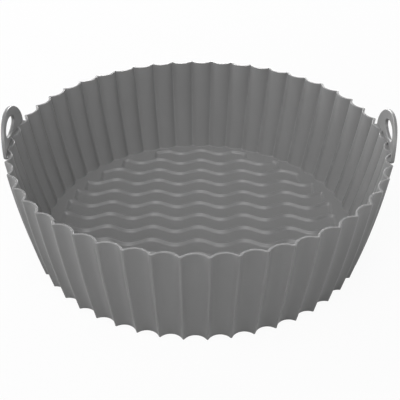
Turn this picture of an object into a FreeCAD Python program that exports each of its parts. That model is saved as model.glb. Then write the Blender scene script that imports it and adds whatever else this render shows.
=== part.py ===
import FreeCAD, Part
import math
import os
from FreeCAD import Vector

# A round baking liner for an air fryer, moulded in silicone as one piece.
# The origin is at the middle of the flat underside, +Z is up and the two handles stand at +X and -X.
# Sizes are in millimetres.

doc = FreeCAD.newDocument("air_fryer_liner")

sheet = doc.addObject("Spreadsheet::Sheet", "Sizes")
driving_sizes = [
    ("rim_radius", "100.3", "outside radius at the rim, over the flute crests"),
    ("base_radius", "90.3", "outside radius at the base, over the flute crests"),
    ("wall_height", "57", "base to rim"),
    ("wall_bulge", "1", "how far the middle of the wall stands out past a straight slope"),
    ("flute_count", "50", "flutes round the wall"),
    ("rim_flute_depth", "2.95", "crest to valley, outside, at the rim"),
    ("base_flute_depth", "3.2", "crest to valley, outside, at the base"),
    ("rim_crest_round", "1.2", "radius of a crest at the rim"),
    ("base_crest_round", "0.5", "radius of a crest at the base"),
    ("rim_crease_round", "0.5", "radius inside a crest at the rim"),
    ("base_crease_round", "1.4", "radius inside a crest at the base"),
    ("rim_thickness", "1.1", "wall between the inside and the outside, at the rim"),
    ("base_thickness", "2.6", "wall between the inside and the outside, at the base"),
    ("floor_thickness", "1.2", "floor under the channels"),
    ("channel_depth", "1.6", "depth of the channels in the floor"),
    ("field_radius", "78.5", "circle that the middle of each channel ends on"),
    ("field_limit", "83.6", "circle that no channel reaches past"),
    ("ridge_pitch", "12.1", "spacing of the ridges"),
    ("ridge_shift", "1.8", "how far the pattern of ridges lies towards +Y"),
    ("ridge_foot_width", "5.3", "width of a ridge at its foot"),
    ("ridge_top_width", "2", "width of a ridge's flat top"),
    ("wave_length", "25.5", "length of one wave of a ridge"),
    ("wave_height", "2.2", "height of a wave over its middle line"),
    ("wave_bend", "9", "bend radius at the top of a wave"),
    ("handle_half_width", "20", "half of a handle's width at the rim"),
    ("handle_rise", "15.6", "height of a handle over the rim"),
    ("handle_drop", "6", "length of a handle's root below the rim"),
    ("handle_thickness", "1.75", "thickness of a handle"),
    ("handle_proud", "0.48", "how far a handle stands out past the crests at the rim"),
    ("root_step", "0.5", "how far the filled root between a handle and the wall lies under the rim"),
    ("handle_edge_round", "0.4", "radius along a handle's edges"),
    ("handle_round_limit", "0.45", "largest share of a handle's thickness that the radius takes"),
    ("handle_long_edge", "4", "edges of a handle that are longer than this are rounded"),
    ("hole_half_width", "9.1", "half of the width of the finger hole"),
    ("hole_half_height", "4.3", "half of the height of the finger hole"),
    ("hole_sill", "2.1", "height of the finger hole's lowest point over the rim"),
    ("cutting_margin", "1", "how far a cutting shape runs past what it cuts"),
]
for row, (alias, value, meaning) in enumerate(driving_sizes, start=1):
    sheet.set("A%d" % row, alias)
    sheet.set("B%d" % row, value)
    sheet.set("C%d" % row, meaning)
    sheet.setAlias("B%d" % row, alias)
doc.recompute()


def size(alias):
    return float(sheet.get(alias))


flute_count = int(size("flute_count"))
half_flute = math.pi / flute_count


def polar(radius, angle):
    return Vector(radius * math.cos(angle), radius * math.sin(angle), 0)


def along(start, target, distance):
    return start + (target - start).normalize() * distance


def add_shape(name, shape, height="0", shift="0"):
    feature = doc.addObject("Part::Feature", name)
    feature.Shape = shape
    feature.setExpression("Placement.Base.y", shift)
    feature.setExpression("Placement.Base.z", height)
    return feature


def add_boolean(kind, name, base, tool):
    feature = doc.addObject("Part::" + kind, name)
    feature.Base = base
    feature.Tool = tool
    return feature


def add_extrusion(name, base, direction, length):
    feature = doc.addObject("Part::Extrusion", name)
    feature.Base = base
    feature.DirMode = "Custom"
    feature.Dir = direction
    feature.Solid = True
    feature.setExpression("LengthFwd", length)
    return feature


def add_mirror(name, source):
    feature = doc.addObject("Part::Mirroring", name)
    feature.Source = source
    feature.Normal = Vector(1, 0, 0)
    return feature


# Fluted wall: valleys are arcs seen from outside, crests are small arcs that touch them.

def at_level(name, level):
    return size("base_" + name) + (size("rim_" + name) - size("base_" + name)) * level


def bulge(level):
    return size("wall_bulge") * (1 - (2 * level - 1) ** 2)


def outer_flute(level):
    crest_round = at_level("crest_round", level)
    crest_centre = at_level("radius", level) + bulge(level) - crest_round
    valley_bottom = crest_centre + crest_round - at_level("flute_depth", level)
    across = crest_centre * math.sin(half_flute)
    inward = crest_centre * math.cos(half_flute) - valley_bottom
    valley_round = (across ** 2 + inward ** 2 - crest_round ** 2) / (2 * (inward + crest_round))
    return crest_centre, crest_round, valley_bottom + valley_round, valley_round


def inner_flute(level):
    crest_centre, crest_round, valley_centre, valley_round = outer_flute(level)
    crease_round = at_level("crease_round", level)
    valley_round += at_level("thickness", level)
    reach = math.sqrt((valley_round + crease_round) ** 2 - (valley_centre * math.sin(half_flute)) ** 2)
    return valley_centre * math.cos(half_flute) - reach, crease_round, valley_centre, valley_round


def fluted_wire(crest_centre, crest_round, valley_centre, valley_round):
    edges = []
    for flute in range(flute_count):
        crest_angle = 2 * half_flute * flute
        crest = polar(crest_centre, crest_angle)
        valley = polar(valley_centre, crest_angle + half_flute)
        last_valley = polar(valley_centre, crest_angle - half_flute)
        next_crest = polar(crest_centre, crest_angle + 2 * half_flute)
        rise = along(crest, last_valley, crest_round)
        top = polar(crest_centre + crest_round, crest_angle)
        fall = along(crest, valley, crest_round)
        bottom = polar(valley_centre - valley_round, crest_angle + half_flute)
        next_rise = along(next_crest, valley, crest_round)
        edges.append(Part.Arc(rise, top, fall).toShape())
        edges.append(Part.Arc(fall, bottom, next_rise).toShape())
    return Part.Wire(edges)


def add_loft(name, sections):
    loft = doc.addObject("Part::Loft", name)
    loft.Sections = sections
    loft.Solid = True
    loft.Ruled = True
    return loft


border_height = "Sizes.floor_thickness + Sizes.channel_depth"
border_level = (size("floor_thickness") + size("channel_depth")) / size("wall_height")
middle_levels = [0.2, 0.4, 0.6, 0.8]


def add_outlines(name, flute, low_level, low_height):
    outlines = [add_shape(name, fluted_wire(*flute(low_level)), low_height)]
    for level in middle_levels:
        outlines.append(add_shape(name, fluted_wire(*flute(level)), "%.1f * Sizes.wall_height" % level))
    outlines.append(add_shape(name, fluted_wire(*flute(1)), "Sizes.wall_height"))
    return outlines


outer_form = add_loft("outer_form", add_outlines("outer_outline", outer_flute, 0, "0"))
hollow = add_loft("hollow", add_outlines("inner_outline", inner_flute, border_level, border_height))


# Filled roots: they close the gap between each handle and the fluted wall, a step below the rim.

def half_ellipse(half_width, half_height, side):
    bow = Part.Arc(Vector(0, -1, 0), Vector(0, 0, side), Vector(0, 1, 0)).toShape()
    stretch = FreeCAD.Matrix()
    stretch.scale(Vector(1, half_width, half_height))
    return bow.transformGeometry(stretch)


def add_cylinder(name, radius):
    cylinder = doc.addObject("Part::Cylinder", name)
    cylinder.setExpression("Radius", radius)
    cylinder.setExpression("Height", "Sizes.handle_rise + Sizes.handle_drop + 2 * Sizes.cutting_margin")
    cylinder.setExpression("Placement.Base.z", "Sizes.wall_height - Sizes.handle_drop - Sizes.cutting_margin")
    return cylinder


def root_face():
    half_width = size("handle_half_width") - size("handle_edge_round")
    drop = size("handle_drop") - size("handle_edge_round") - size("root_step")
    across = Part.LineSegment(Vector(0, half_width, 0), Vector(0, -half_width, 0)).toShape()
    return Part.makeFace([Part.Wire([half_ellipse(half_width, drop, -1), across])], "Part::FaceMakerBullseye")


outer_radius = "Sizes.rim_radius + Sizes.handle_proud"
block_length = outer_radius + " + Sizes.cutting_margin"
root_outline = add_shape("root_outline", root_face(), "Sizes.wall_height - Sizes.root_step")
root_block = add_extrusion("root_block", root_outline, Vector(1, 0, 0), block_length)
root_outside = add_cylinder("root_outside", outer_radius + " - Sizes.handle_thickness / 2")
root_inside = add_cylinder(
    "root_inside", "Sizes.rim_radius - Sizes.rim_flute_depth - Sizes.rim_thickness - Sizes.cutting_margin")
root_ring = add_boolean("Cut", "root_ring", root_outside, root_inside)
right_root = add_boolean("Common", "right_root", root_block, root_ring)
left_root = add_mirror("left_root", right_root)

rooted_form = doc.addObject("Part::MultiFuse", "rooted_form")
rooted_form.Shapes = [outer_form, right_root, left_root]
plain_bowl = add_boolean("Cut", "plain_bowl", rooted_form, hollow)


# Wave line of the ridges: bends of one radius joined by straight runs, with a top at x = 0.

wave_quarter = size("wave_length") / 4
wave_lever = size("wave_bend") - size("wave_height")
wave_slope = (math.asin(size("wave_bend") / math.hypot(wave_quarter, wave_lever))
              - math.atan2(wave_lever, wave_quarter))
bend_reach = size("wave_bend") * math.sin(wave_slope)


def wave_offset(x):
    half_waves = round(x / (2 * wave_quarter))
    from_top = x - half_waves * 2 * wave_quarter
    if abs(from_top) <= bend_reach:
        offset = math.sqrt(size("wave_bend") ** 2 - from_top ** 2) - wave_lever
    else:
        offset = (wave_quarter - abs(from_top)) * math.tan(wave_slope)
    return offset if half_waves % 2 == 0 else -offset


def wave_edges(x_start, x_end, y_middle):
    def point(x):
        return Vector(x, y_middle + wave_offset(x), 0)

    joints = [x_start]
    half_waves = math.floor(x_start / (2 * wave_quarter))
    while half_waves * 2 * wave_quarter < x_end + 2 * wave_quarter:
        top = half_waves * 2 * wave_quarter
        joints += [x for x in (top - bend_reach, top + bend_reach) if x_start < x < x_end]
        half_waves += 1
    joints.append(x_end)
    edges = []
    for left, right in zip(joints, joints[1:]):
        middle = (left + right) / 2
        beside_top = abs(middle - round(middle / (2 * wave_quarter)) * 2 * wave_quarter)
        if beside_top < bend_reach:
            edges.append(Part.Arc(point(left), point(middle), point(right)).toShape())
        else:
            edges.append(Part.LineSegment(point(left), point(right)).toShape())
    return edges


# Field of channels: each channel ends square where its middle line meets the field circle.

last_channel = math.ceil(size("field_radius") / size("ridge_pitch")) - 1


def channel_reach(channel):
    return math.sqrt(size("field_radius") ** 2 - (channel * size("ridge_pitch")) ** 2)


def field_wire():
    def ridge_line(channel):
        return (channel + 0.5) * size("ridge_pitch")

    def corner(x, y_middle):
        return Vector(x, y_middle + wave_offset(x), 0)

    first_line = ridge_line(-last_channel - 1)
    last_line = ridge_line(last_channel)
    end_reach = channel_reach(last_channel)
    edges = wave_edges(-end_reach, end_reach, first_line) + wave_edges(-end_reach, end_reach, last_line)
    for channel in range(-last_channel, last_channel + 1):
        reach = channel_reach(channel)
        for side in (-1, 1):
            near = corner(side * reach, ridge_line(channel - 1))
            far = corner(side * reach, ridge_line(channel))
            edges.append(Part.LineSegment(near, far).toShape())
        if channel < last_channel:
            short, long = sorted((reach, channel_reach(channel + 1)))
            edges += wave_edges(-long, -short, ridge_line(channel))
            edges += wave_edges(short, long, ridge_line(channel))
    return Part.Wire(Part.__sortEdges__(edges))


field_outline = add_shape("field_outline", field_wire(), "Sizes.floor_thickness", "Sizes.ridge_shift")
field_depth = "Sizes.channel_depth + Sizes.cutting_margin"
field_block = add_extrusion("field_block", field_outline, Vector(0, 0, 1), field_depth)
field_disc = doc.addObject("Part::Cylinder", "field_disc")
field_disc.setExpression("Radius", "Sizes.field_limit")
field_disc.setExpression("Height", "Sizes.floor_thickness + " + field_depth)
field = add_boolean("Common", "field", field_block, field_disc)


# Ridges between the channels: flat tops with sloped sides, level with the plain border of the floor.

def ridge_section(x_start):
    half_foot = size("ridge_foot_width") / 2
    half_top = size("ridge_top_width") / 2
    crown = size("channel_depth")
    low = -size("cutting_margin")
    outline = [(-half_foot, low), (-half_foot, 0), (-half_top, crown),
               (half_top, crown), (half_foot, 0), (half_foot, low), (-half_foot, low)]
    return Part.makePolygon([Vector(x_start, wave_offset(x_start) + y, z) for y, z in outline])


ridge_end = 2 * wave_quarter * math.ceil(size("field_radius") / (2 * wave_quarter))
ridge_path = add_shape("ridge_path", Part.Wire(wave_edges(-ridge_end, ridge_end, 0)))
ridge_outline = add_shape("ridge_outline", ridge_section(-ridge_end))
ridge = doc.addObject("Part::Sweep", "ridge")
ridge.Sections = [ridge_outline]
ridge.Spine = (ridge_path, ["Edge%d" % (i + 1) for i in range(len(ridge_path.Shape.Edges))])
ridge.Solid = True

ridge_rows = []
for line in range(-last_channel - 1, last_channel + 1):
    ridge_row = doc.addObject("App::Link", "ridge_row")
    ridge_row.LinkedObject = ridge
    ridge_row.setExpression("Placement.Base.y", "%.1f * Sizes.ridge_pitch + Sizes.ridge_shift" % (line + 0.5))
    ridge_row.setExpression("Placement.Base.z", "Sizes.floor_thickness")
    ridge_rows.append(ridge_row)
ridges = doc.addObject("Part::Compound", "ridges")
ridges.Links = ridge_rows

channels = add_boolean("Cut", "channels", field, ridges)
ribbed_bowl = add_boolean("Cut", "ribbed_bowl", plain_bowl, channels)


# Handles: a strip that follows the rim, cut to an oval outline with an oval finger hole.

def handle_face():
    half_width = size("handle_half_width")
    outline = Part.Wire([
        half_ellipse(half_width, size("handle_rise"), 1),
        half_ellipse(half_width, size("handle_drop"), -1),
    ])
    hole = Part.Wire([
        half_ellipse(size("hole_half_width"), size("hole_half_height"), 1),
        half_ellipse(size("hole_half_width"), size("hole_half_height"), -1),
    ])
    hole.translate(Vector(0, 0, size("hole_sill") + size("hole_half_height")))
    return Part.makeFace([outline, hole], "Part::FaceMakerBullseye")


handle_outline = add_shape("handle_outline", handle_face(), "Sizes.wall_height")
handle_block = add_extrusion("handle_block", handle_outline, Vector(1, 0, 0), block_length)
handle_outside = add_cylinder("handle_outside", outer_radius)
handle_inside = add_cylinder("handle_inside", outer_radius + " - Sizes.handle_thickness")
handle_ring = add_boolean("Cut", "handle_ring", handle_outside, handle_inside)
handle_strip = add_boolean("Common", "handle_strip", handle_block, handle_ring)
doc.recompute()

long_edges = [index for index, edge in enumerate(handle_strip.Shape.Edges, start=1)
              if edge.Length > size("handle_long_edge")]
right_handle = doc.addObject("Part::Fillet", "right_handle")
right_handle.Base = handle_strip
edge_round = min(size("handle_edge_round"), size("handle_round_limit") * size("handle_thickness"))
right_handle.Edges = [(index, edge_round, edge_round) for index in long_edges]

left_handle = add_mirror("left_handle", right_handle)

liner = doc.addObject("Part::MultiFuse", "liner_body")
liner.Shapes = [ribbed_bowl, right_handle, left_handle]
liner.Label = "liner"


def check_document():
    for item in doc.Objects:
        if "Invalid" in item.State or "Error" in item.State:
            raise RuntimeError("%s did not build: %s" % (item.Name, item.State))


def write_parts(pieces):
    os.makedirs("parts", exist_ok=True)
    for piece in pieces:
        shape = piece.Shape
        if shape.isNull() or not shape.isValid() or len(shape.Solids) != 1:
            raise RuntimeError("%s is not one valid solid" % piece.Label)
        shape.exportStep("parts/%s.step" % piece.Label)
        print(piece.Label, "volume", round(shape.Volume), "mm3", "box", shape.BoundBox)


doc.recompute()
check_document()
write_parts([liner])
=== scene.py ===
import math
import bmesh
import bpy
from mathutils import Matrix, Vector
from mathutils.geometry import delaunay_2d_cdt


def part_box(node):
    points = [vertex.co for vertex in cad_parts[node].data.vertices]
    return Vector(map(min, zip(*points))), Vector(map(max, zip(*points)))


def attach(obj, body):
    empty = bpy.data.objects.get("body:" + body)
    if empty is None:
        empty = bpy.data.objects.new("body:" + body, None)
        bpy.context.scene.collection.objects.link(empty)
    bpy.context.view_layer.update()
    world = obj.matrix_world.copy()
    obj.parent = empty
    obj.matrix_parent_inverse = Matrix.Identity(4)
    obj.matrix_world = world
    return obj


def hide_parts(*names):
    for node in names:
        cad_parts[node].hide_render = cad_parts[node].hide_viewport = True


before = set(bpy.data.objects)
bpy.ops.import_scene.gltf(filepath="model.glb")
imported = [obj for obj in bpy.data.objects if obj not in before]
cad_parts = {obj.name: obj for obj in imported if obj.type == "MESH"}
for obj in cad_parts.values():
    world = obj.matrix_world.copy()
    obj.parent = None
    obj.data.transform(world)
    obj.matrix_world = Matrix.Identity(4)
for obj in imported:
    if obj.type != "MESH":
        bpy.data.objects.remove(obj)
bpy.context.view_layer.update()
linerLow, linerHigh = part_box("liner")
mm = 0.001
tinyGap = 1e-7  # stations closer than this, in metres, are one
weldGap = 1e-6  # vertices closer than this, in metres, are one

# Handles: strips that follow the rim, with an oval outline and an oval finger hole.
handle = {
    "halfWidth": 20 * mm,
    "rise": 15.6 * mm,  # over the rim
    "drop": 6 * mm,  # under the rim
    "outerRadius": linerHigh.x,
    "proud": 0.48 * mm,  # past the crests of the rim
    "thickness": 1.75 * mm,
    "edgeRound": 0.42 * mm,
    "holeHalfWidth": 9.1 * mm,
    "holeHalfHeight": 4.3 * mm,
    "holeSill": 2.1 * mm,  # from the rim to the hole
    "rootStep": 0.5 * mm,  # the filled root lies this far under the rim
    "steps": 128,
    "faceRows": 6,
    "roundRows": 4,
}

# Fluted wall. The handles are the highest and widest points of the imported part, so they place its rim.
wall = {
    "flutes": 50,
    "height": linerHigh.z - handle["rise"],
    "rimRadius": linerHigh.x - handle["proud"],
    "baseRadius": 90.3 * mm,
    "bulge": 1 * mm,  # at mid height, past a straight slope
    "rimDepth": 2.95 * mm,  # crest to valley
    "baseDepth": 3.2 * mm,
    "rimCrest": 1.2 * mm,  # crest radius, outside
    "baseCrest": 0.5 * mm,
    "rimCrease": 0.5 * mm,  # crease radius, inside a crest
    "baseCrease": 1.4 * mm,
    "rimThickness": 1.1 * mm,
    "baseThickness": 2.6 * mm,
    "rimRound": 0.2 * mm,
    "baseRound": 0.15 * mm,
    "cornerRound": 0.3 * mm,  # fillet between the wall and the floor
    "crestSteps": 8,
    "valleySteps": 18,
    "insideRows": 9,
    "outsideRows": 10,
    "roundRows": 4,
}
halfFlute = math.pi / wall["flutes"]

# Floor: channels between wavy ridges, inside a plain border that is as high as the ridges.
floor = {
    "top": 1.2 * mm,  # floor of the channels
    "depth": 1.6 * mm,
    "fieldRadius": 78.5 * mm,
    "fieldLimit": 83.6 * mm,  # no channel comes closer to the wall
    "pitch": 12.1 * mm,
    "shift": 1.8 * mm,  # the pattern lies a little towards the back
    "ridgeRound": 1.3 * mm,
    "footRound": 1.7 * mm,
    "ridgeSteps": 5,
    "footSteps": 3,
    "waveLength": 25.5 * mm,
    "waveHeight": 2.2 * mm,
    "waveBend": 9 * mm,
    "stepsPerWave": 18,
    "stationGap": 0.3,  # share of a step that the stations keep from a channel's end
    "endRun": 2 * mm,  # run of the slope at a channel's end
    "endSteps": 4,
}
borderHeight = floor["top"] + floor["depth"]


def mix(start, end, share):
    return start + (end - start) * share


def polar(radius, angle):
    return Vector((radius * math.cos(angle), radius * math.sin(angle)))


# Turns the faces of a mesh outwards and stores it under a name.
def storeMesh(mesh, name):
    bmesh.ops.recalc_face_normals(mesh, faces=mesh.faces[:])
    data = bpy.data.meshes.new(name)
    mesh.to_mesh(data)
    mesh.free()
    return data


# Arcs at a level of the wall, 0 at the base and 1 at the rim: centre and radius of a crest, then of a valley.
def outsideArcs(level, inset):
    crestRound = mix(wall["baseCrest"], wall["rimCrest"], level)
    bulge = wall["bulge"] * (1 - (2 * level - 1) ** 2)
    crestTop = mix(wall["baseRadius"], wall["rimRadius"], level) + bulge
    crestCentre = crestTop - crestRound
    valleyBottom = crestTop - mix(wall["baseDepth"], wall["rimDepth"], level)
    across = crestCentre * math.sin(halfFlute)
    inward = crestCentre * math.cos(halfFlute) - valleyBottom
    valleyRound = (across ** 2 + inward ** 2 - crestRound ** 2) / (2 * (inward + crestRound))
    return crestCentre, crestRound - inset, valleyBottom + valleyRound, valleyRound + inset


def insideArcs(level, inset):
    _, _, valleyCentre, valleyRound = outsideArcs(level, 0)
    valleyRound += mix(wall["baseThickness"], wall["rimThickness"], level) + inset
    creaseRound = mix(wall["baseCrease"], wall["rimCrease"], level)
    reach = math.sqrt((valleyRound + creaseRound) ** 2 - (valleyCentre * math.sin(halfFlute)) ** 2)
    creaseCentre = valleyCentre * math.cos(halfFlute) - reach
    return creaseCentre, creaseRound, valleyCentre, valleyRound


def outlinePoints(arcs):
    crestCentre, crestRound, valleyCentre, valleyRound = arcs
    crestSpan = math.atan2(
        valleyCentre * math.sin(halfFlute), valleyCentre * math.cos(halfFlute) - crestCentre)
    valleySpan = math.atan2(
        crestCentre * math.sin(halfFlute), valleyCentre - crestCentre * math.cos(halfFlute))
    points = []
    for flute in range(wall["flutes"]):
        crestAngle = 2 * halfFlute * flute
        valleyAngle = crestAngle + halfFlute
        for step in range(wall["crestSteps"]):
            turn = mix(-crestSpan, crestSpan, step / wall["crestSteps"])
            points.append(polar(crestCentre, crestAngle) + polar(crestRound, crestAngle + turn))
        for step in range(wall["valleySteps"]):
            turn = mix(valleySpan, -valleySpan, step / wall["valleySteps"])
            points.append(polar(valleyCentre, valleyAngle) + polar(valleyRound, valleyAngle + math.pi + turn))
    return points


# Rows of the wall, from the floor's border up the inside, over the rim and down the outside.
def wallRows():
    height = wall["height"]
    corner = wall["cornerRound"]
    rimRound = wall["rimRound"]
    baseRound = wall["baseRound"]
    rows = []

    def addRound(arcs, radius, side, fromTurn, toTurn, middleHeight, up):
        for step in range(wall["roundRows"] + 1):
            turn = math.radians(mix(fromTurn, toTurn, step / wall["roundRows"]))
            z = middleHeight + up * radius * math.sin(turn)
            rows.append((arcs, side * radius * (1 - math.cos(turn)), z))

    def addStraight(arcs, fromHeight, toHeight, count):
        for step in range(1, count):
            rows.append((arcs, 0, mix(fromHeight, toHeight, step / count)))

    addRound(insideArcs, corner, 1, 90, 0, borderHeight + corner, -1)
    addStraight(insideArcs, borderHeight + corner, height - rimRound, wall["insideRows"])
    addRound(insideArcs, rimRound, -1, 0, 90, height - rimRound, 1)
    addRound(outsideArcs, rimRound, 1, 90, 0, height - rimRound, 1)
    addStraight(outsideArcs, height - rimRound, baseRound, wall["outsideRows"])
    addRound(outsideArcs, baseRound, 1, 0, 90, baseRound, -1)
    return rows


# Wave line of the ridges: bends of one radius joined by straight runs, with a top at x = 0.
waveQuarter = floor["waveLength"] / 4
waveLever = floor["waveBend"] - floor["waveHeight"]
waveSlope = (math.asin(floor["waveBend"] / math.hypot(waveQuarter, waveLever))
             - math.atan2(waveLever, waveQuarter))
bendReach = floor["waveBend"] * math.sin(waveSlope)


def waveOffset(x):
    halfWaves = round(x / (2 * waveQuarter))
    fromTop = x - halfWaves * 2 * waveQuarter
    if abs(fromTop) <= bendReach:
        offset = math.sqrt(floor["waveBend"] ** 2 - fromTop ** 2) - waveLever
    else:
        offset = (waveQuarter - abs(fromTop)) * math.tan(waveSlope)
    return offset if halfWaves % 2 == 0 else -offset


# Channels are numbered from the middle one, 0, to this one on either side.
lastChannel = math.ceil(floor["fieldRadius"] / floor["pitch"]) - 1


def channelReach(channel):
    return math.sqrt(floor["fieldRadius"] ** 2 - (channel * floor["pitch"]) ** 2)


# Half of a ridge's section: (distance from its middle line, height as a share of the channel's depth).
def halfRidge():
    both = floor["ridgeRound"] + floor["footRound"]
    slope = math.acos(1 - floor["depth"] / both)
    points = []
    for step in range(floor["ridgeSteps"]):
        turn = slope * step / floor["ridgeSteps"]
        points.append((floor["ridgeRound"] * math.sin(turn),
                       1 - floor["ridgeRound"] * (1 - math.cos(turn)) / floor["depth"]))
    for step in range(floor["footSteps"] + 1):
        turn = slope * (1 - step / floor["footSteps"])
        points.append((both * math.sin(slope) - floor["footRound"] * math.sin(turn),
                       floor["footRound"] * (1 - math.cos(turn)) / floor["depth"]))
    return points


# Share of the depth that a channel lacks at a distance inside its end: 1 at the end, 0 past the slope.
def endShare(inside):
    if inside >= floor["endRun"]:
        return 0
    return (1 + math.cos(math.pi * inside / floor["endRun"])) / 2


# Values of x at which the channels get a column: even steps, and the slopes at the channels' ends.
def channelStations():
    step = floor["waveLength"] / floor["stepsPerWave"]
    ends = []
    for channel in range(lastChannel + 1):
        for i in range(floor["endSteps"] + 1):
            ends.append(channelReach(channel) - floor["endRun"] * i / floor["endSteps"])
    ends.sort()
    spaced = [x for i, x in enumerate(ends) if i == 0 or x - ends[i - 1] > tinyGap]
    count = int(floor["fieldRadius"] / step)
    even = [i * step for i in range(count + 1)]
    clear = [x for x in even if all(abs(x - end) > floor["stationGap"] * step for end in spaced)]
    positive = sorted(clear + spaced)
    return [-x for x in reversed(positive) if x > 0] + positive


def addChannels(mesh):
    stations = channelStations()
    half = halfRidge()
    section = half + [(floor["pitch"] - across, share) for across, share in reversed(half)]
    for channel in range(-lastChannel, lastChannel + 1):
        reach = channelReach(channel)
        nearLine = (channel - 0.5) * floor["pitch"] + floor["shift"]
        columns = []
        for x in stations:
            if abs(x) > reach + tinyGap:
                continue
            end = endShare(reach - abs(x))
            room = math.sqrt(floor["fieldLimit"] ** 2 - x ** 2)
            low = max(nearLine + waveOffset(x), -room)
            high = min(nearLine + floor["pitch"] + waveOffset(x), room)
            column = []
            for across, share in section:
                z = floor["top"] + floor["depth"] * (1 - (1 - share) * (1 - end))
                column.append(mesh.verts.new((x, mix(low, high, across / floor["pitch"]), z)))
            columns.append(column)
        for left, right in zip(columns, columns[1:]):
            for i in range(len(section) - 1):
                mesh.faces.new((left[i], right[i], right[i + 1], left[i + 1]))


def insideField(x, y):
    channel = round((y - floor["shift"] - waveOffset(x)) / floor["pitch"])
    return (abs(channel) <= lastChannel and abs(x) < channelReach(channel)
            and math.hypot(x, y) < floor["fieldLimit"])


# Fills the flat region between loops of edges, apart from what skip(x, y) names.
def fillFlat(mesh, edges, skip):
    verts = list({vert for edge in edges for vert in edge.verts})
    place = {vert: i for i, vert in enumerate(verts)}
    links = [(place[edge.verts[0]], place[edge.verts[1]]) for edge in edges]
    flat = [Vector((vert.co.x, vert.co.y)) / mm for vert in verts]
    points, _, triangles, origins, _, _ = delaunay_2d_cdt(flat, links, [], 1, weldGap)
    for triangle in triangles:
        middle = sum((points[i] for i in triangle), Vector((0, 0))) / len(triangle) * mm
        if not skip(middle.x, middle.y):
            mesh.faces.new([verts[origins[i][0]] for i in triangle])


def openEdges(mesh, z):
    return [edge for edge in mesh.edges
            if edge.is_boundary and all(abs(vert.co.z - z) < weldGap for vert in edge.verts)]


def buildBowl():
    mesh = bmesh.new()
    addChannels(mesh)
    bmesh.ops.remove_doubles(mesh, verts=mesh.verts[:], dist=weldGap)
    rings = []
    for arcs, inset, z in wallRows():
        level = z / wall["height"]
        rings.append([mesh.verts.new((point.x, point.y, z)) for point in outlinePoints(arcs(level, inset))])
    for lower, upper in zip(rings, rings[1:]):
        for i in range(len(lower)):
            mesh.faces.new((lower[i - 1], lower[i], upper[i], upper[i - 1]))
    fillFlat(mesh, openEdges(mesh, borderHeight), insideField)
    fillFlat(mesh, openEdges(mesh, 0), lambda x, y: False)
    return storeMesh(mesh, "liner_moulding")


# Point (y, z) of an oval, moved out from its edge.
def ovalPoint(halfWidth, halfHeight, middle, turn, outset):
    y = math.cos(turn)
    z = math.sin(turn)
    normal = Vector((y / halfWidth, z / halfHeight)).normalized()
    return Vector((halfWidth * y, middle + halfHeight * z)) + normal * outset


# One handle as a closed strip: rings round the outline, across the outside, through the hole and back.
def buildHandle(side):
    radius = handle["edgeRound"]
    rim = wall["height"]
    holeMiddle = rim + handle["holeSill"] + handle["holeHalfHeight"]

    # Each row is (share of the way from outline to hole, inset from that edge, depth under the outside).
    corner = []
    for step in range(handle["roundRows"] + 1):
        turn = math.radians(90 * step / handle["roundRows"])
        corner.append((radius * (1 - math.cos(turn)), radius * (1 - math.sin(turn))))
    rows = [(0, inset, depth) for inset, depth in corner]
    for step in range(1, handle["faceRows"]):
        rows.append((step / handle["faceRows"], radius, 0))
    rows += [(1, inset, depth) for inset, depth in reversed(corner)]
    rows += [(share, inset, handle["thickness"] - depth) for share, inset, depth in reversed(rows)]

    mesh = bmesh.new()
    rings = []
    for share, inset, depth in rows:
        ring = []
        for step in range(handle["steps"]):
            turn = 2 * math.pi * step / handle["steps"]
            halfHeight = handle["rise"] if math.sin(turn) > 0 else handle["drop"]
            edge = ovalPoint(handle["halfWidth"], halfHeight, rim, turn, -inset)
            hole = ovalPoint(handle["holeHalfWidth"], handle["holeHalfHeight"], holeMiddle, turn, inset)
            point = edge.lerp(hole, share)
            x = math.sqrt((handle["outerRadius"] - depth) ** 2 - point.x ** 2)
            ring.append(mesh.verts.new((side * x, point.x, point.y)))
        rings.append(ring)
    for i, ring in enumerate(rings):
        last = rings[i - 1]
        for j in range(len(ring)):
            mesh.faces.new((last[j - 1], last[j], ring[j], ring[j - 1]))
    return storeMesh(mesh, "handle_strip")


# Root of a handle: fills the gap between its strip and the wall, from the middle of each.
def buildRoot(side):
    step = handle["rootStep"]
    halfWidth = handle["halfWidth"] - handle["edgeRound"]
    drop = handle["drop"] - handle["edgeRound"] - step
    top = wall["height"] - step
    level = (top - drop / 2) / wall["height"]
    inner = [point for point in outlinePoints(outsideArcs(level, wall["rimThickness"] / 2))
             if point.x > 0 and abs(point.y) < halfWidth]
    inner.sort(key=lambda point: point.y)
    mesh = bmesh.new()
    columns = []
    for point in inner:
        outer = point.normalized() * (handle["outerRadius"] - handle["thickness"] / 2)
        low = top - drop * math.sqrt(1 - (point.y / halfWidth) ** 2)
        corners = [(point, low), (point, top), (outer, top), (outer, low)]
        columns.append([mesh.verts.new((side * place.x, place.y, z)) for place, z in corners])
    for left, right in zip(columns, columns[1:]):
        for i in range(len(left)):
            mesh.faces.new((left[i - 1], left[i], right[i], right[i - 1]))
    mesh.faces.new(columns[0])
    mesh.faces.new(columns[-1])
    return storeMesh(mesh, "handle_root")


def addObject(name, data):
    piece = bpy.data.objects.new(name, data)
    bpy.context.scene.collection.objects.link(piece)
    return piece


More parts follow.
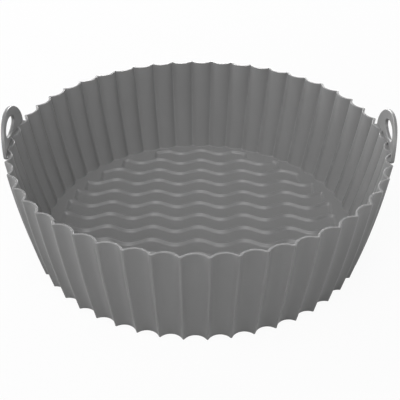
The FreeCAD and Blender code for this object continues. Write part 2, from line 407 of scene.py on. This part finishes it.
def buildLiner():
    liner = addObject("liner_moulding", buildBowl())
    for data in (buildHandle(-1), buildHandle(1), buildRoot(-1), buildRoot(1)):
        added = addObject("added", data)
        join = liner.modifiers.new("join", "BOOLEAN")
        join.operation = "UNION"
        join.solver = "EXACT"
        join.object = added
        bpy.context.view_layer.update()
        joined = bpy.data.meshes.new_from_object(liner.evaluated_get(bpy.context.evaluated_depsgraph_get()))
        liner.modifiers.clear()
        liner.data = joined
        bpy.data.objects.remove(added)
    liner.data.name = "liner_moulding"
    liner.data.shade_smooth()
    liner.data.set_sharp_from_angle(angle=math.radians(40))  # no moulded round turns as much in one step
    weighted = liner.modifiers.new("flat faces stay flat", "WEIGHTED_NORMAL")
    weighted.keep_sharp = True
    return liner


# Turns an sRGB colour such as "#797979" to linear values with an alpha of 1.
def hexColour(text):
    channels = [int(text[i:i + 2], 16) / 255 for i in (1, 3, 5)]
    linear = [c / 12.92 if c <= 0.04045 else ((c + 0.055) / 1.055) ** 2.4 for c in channels]
    return (*linear, 1)


def addNode(tree, kind, settings=None, links=None):
    node = tree.nodes.new(kind)
    for key, value in (settings or {}).items():
        if hasattr(node, key):
            setattr(node, key, value)
        else:
            node.inputs[key].default_value = value
    for key, socket in (links or {}).items():
        tree.links.new(socket, node.inputs[key])
    return node


# Silicone rubber, moulded in a finely blasted tool: an even matt grey with a soft broad highlight.
silicone = {
    "colour": "#797979",
    "paleColour": "#7f7f7f",
    "roughness": 0.36,
    "roughnessSpread": 0.04,
    "ior": 1.41,
    "cloudSize": 22 * mm,  # patches of the paler, rougher skin
    "cloudDetail": 3,
    "grainSize": 0.5 * mm,  # the tool's grain, drawn coarser than the real 0.1 mm so that it shows
    "grainHeight": 0.006 * mm,
    "swellSize": 9 * mm,  # slow unevenness that breaks up the highlights
    "swellHeight": 0.02 * mm,
}


def siliconeMaterial():
    material = bpy.data.materials.new("moulded silicone rubber, matt grey")
    material.use_nodes = True
    tree = material.node_tree
    tree.nodes.clear()
    place = addNode(tree, "ShaderNodeTexCoord").outputs["Object"]
    clouds = addNode(tree, "ShaderNodeTexNoise",
                     {"Scale": 1 / silicone["cloudSize"], "Detail": silicone["cloudDetail"]},
                     {"Vector": place})
    colour = addNode(tree, "ShaderNodeMix", {"data_type": "RGBA"}, {0: clouds.outputs[0]})
    colour.inputs[6].default_value = hexColour(silicone["colour"])
    colour.inputs[7].default_value = hexColour(silicone["paleColour"])
    rough = addNode(tree, "ShaderNodeMapRange",
                    {"To Min": silicone["roughness"] - silicone["roughnessSpread"],
                     "To Max": silicone["roughness"] + silicone["roughnessSpread"]},
                    {"Value": clouds.outputs[0]})
    swell = addNode(tree, "ShaderNodeTexNoise", {"Scale": 1 / silicone["swellSize"]}, {"Vector": place})
    swellBump = addNode(tree, "ShaderNodeBump", {"Distance": silicone["swellHeight"]},
                        {"Height": swell.outputs[0]})
    grain = addNode(tree, "ShaderNodeTexNoise", {"Scale": 1 / silicone["grainSize"]}, {"Vector": place})
    grainBump = addNode(tree, "ShaderNodeBump", {"Distance": silicone["grainHeight"]},
                        {"Height": grain.outputs[0], "Normal": swellBump.outputs[0]})
    shader = addNode(tree, "ShaderNodeBsdfPrincipled", {"IOR": silicone["ior"]},
                     {"Base Color": colour.outputs[2], "Roughness": rough.outputs[0],
                      "Normal": grainBump.outputs[0]})
    addNode(tree, "ShaderNodeOutputMaterial", None, {"Surface": shader.outputs[0]})
    return material


liner = buildLiner()
liner.data.materials.clear()
liner.data.materials.append(siliconeMaterial())
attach(liner, "root")
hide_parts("liner")
print("liner: %d faces" % len(liner.data.polygons))

# Camera of the photograph: a 68 mm lens, 421 mm from a point in the bowl, and 34 degrees above the worktop.
view = {
    "lens": 68.163,
    "distance": 420.57 * mm,
    "aim": (0.65 * mm, 0, 18.24 * mm),
    "elevation": 34.3,
    "roll": 0.166,
    "turn": 0.7925,
}


def addCamera():
    rise = math.radians(view["elevation"])
    back = Vector((0, -math.cos(rise), math.sin(rise)))
    right = Vector((1, 0, 0))
    up = back.cross(right)
    stand = Matrix((right, up, back)).transposed().to_4x4()
    eye = Matrix.Translation(Vector(view["aim"]) + back * view["distance"])
    roll = Matrix.Rotation(math.radians(view["roll"]), 4, "Z")
    turn = Matrix.Rotation(math.radians(view["turn"]), 4, "Z")
    data = bpy.data.cameras.new("camera")
    data.lens = view["lens"]
    camera = addObject("camera", data)
    camera.matrix_world = turn @ eye @ stand @ roll
    bpy.context.scene.camera = camera


addCamera()
print("camera is set")

# Studio: a pale floor and soft lamps round the liner, under a surround that is white to the camera alone.
studio = {
    "floorSize": 6.0,
    "floorColour": "#c8c8c8",
    "shadowShare": 0.07,  # how much of the floor's shadows the camera sees
    "lampDistance": 1.2,
    "lampSize": 0.6,
    "lamps": [
        {"name": "back low", "azimuth": 0, "elevation": 10, "power": 16},
        {"name": "back left low", "azimuth": 315, "elevation": 10, "power": 13},
        {"name": "front top", "azimuth": 180, "elevation": 60, "power": 7.7},
        {"name": "left low", "azimuth": 270, "elevation": 10, "power": 4.8},
        {"name": "right low", "azimuth": 90, "elevation": 10, "power": 4.6},
        {"name": "back right low", "azimuth": 45, "elevation": 10, "power": 3.8},
        {"name": "left", "azimuth": 270, "elevation": 35, "power": 3.2},
        {"name": "front left top", "azimuth": 225, "elevation": 60, "power": 2.8},
        {"name": "front right", "azimuth": 135, "elevation": 35, "power": 2.5},
        {"name": "front left", "azimuth": 225, "elevation": 35, "power": 2.3},
    ],
}


def addLamps():
    for lamp in studio["lamps"]:
        data = bpy.data.lights.new(lamp["name"], "AREA")
        data.size = studio["lampSize"]
        data.energy = lamp["power"]
        piece = addObject(lamp["name"], data)
        turn = math.radians(lamp["azimuth"])
        rise = math.radians(lamp["elevation"])
        towards = Vector((math.sin(turn) * math.cos(rise), math.cos(turn) * math.cos(rise), math.sin(rise)))
        piece.location = towards * studio["lampDistance"]
        piece.rotation_mode = "QUATERNION"
        piece.rotation_quaternion = towards.to_track_quat("Z", "Y")


# Pale matt paint that lights the liner from below. The camera sees it nearly white, with a faint shadow.
def addFloor():
    half = studio["floorSize"] / 2
    corners = [(-half, -half, 0), (half, -half, 0), (half, half, 0), (-half, half, 0)]
    data = bpy.data.meshes.new("worktop")
    data.from_pydata(corners, [], [(0, 1, 2, 3)])
    worktop = addObject("worktop", data)
    material = bpy.data.materials.new("worktop, matt pale paint")
    material.use_nodes = True
    tree = material.node_tree
    tree.nodes.clear()
    paint = addNode(tree, "ShaderNodeBsdfDiffuse", {"Color": hexColour(studio["floorColour"])})
    white = addNode(tree, "ShaderNodeEmission", {"Strength": 1.0})
    seen = addNode(tree, "ShaderNodeMixShader", {"Fac": 1 - studio["shadowShare"]},
                   {1: paint.outputs[0], 2: white.outputs[0]})
    ray = addNode(tree, "ShaderNodeLightPath")
    picked = addNode(tree, "ShaderNodeMixShader", None,
                     {"Fac": ray.outputs["Is Camera Ray"], 1: paint.outputs[0], 2: seen.outputs[0]})
    addNode(tree, "ShaderNodeOutputMaterial", None, {"Surface": picked.outputs[0]})
    data.materials.append(material)


# White to the camera and dark to all other rays, so that the lamps alone light the liner.
def addWorld():
    world = bpy.data.worlds.new("surround")
    world.use_nodes = True
    tree = world.node_tree
    tree.nodes.clear()
    ray = addNode(tree, "ShaderNodeLightPath")
    dark = addNode(tree, "ShaderNodeBackground", {"Strength": 0.0})
    white = addNode(tree, "ShaderNodeBackground", {"Strength": 1.0})
    white.inputs["Color"].default_value = (1, 1, 1, 1)
    picked = addNode(tree, "ShaderNodeMixShader", None,
                     {"Fac": ray.outputs["Is Camera Ray"], 1: dark.outputs[0], 2: white.outputs[0]})
    addNode(tree, "ShaderNodeOutputWorld", None, {"Surface": picked.outputs[0]})
    bpy.context.scene.world = world


addLamps()
addFloor()
addWorld()
bpy.context.scene.view_settings.view_transform = "Standard"
print("studio is set")
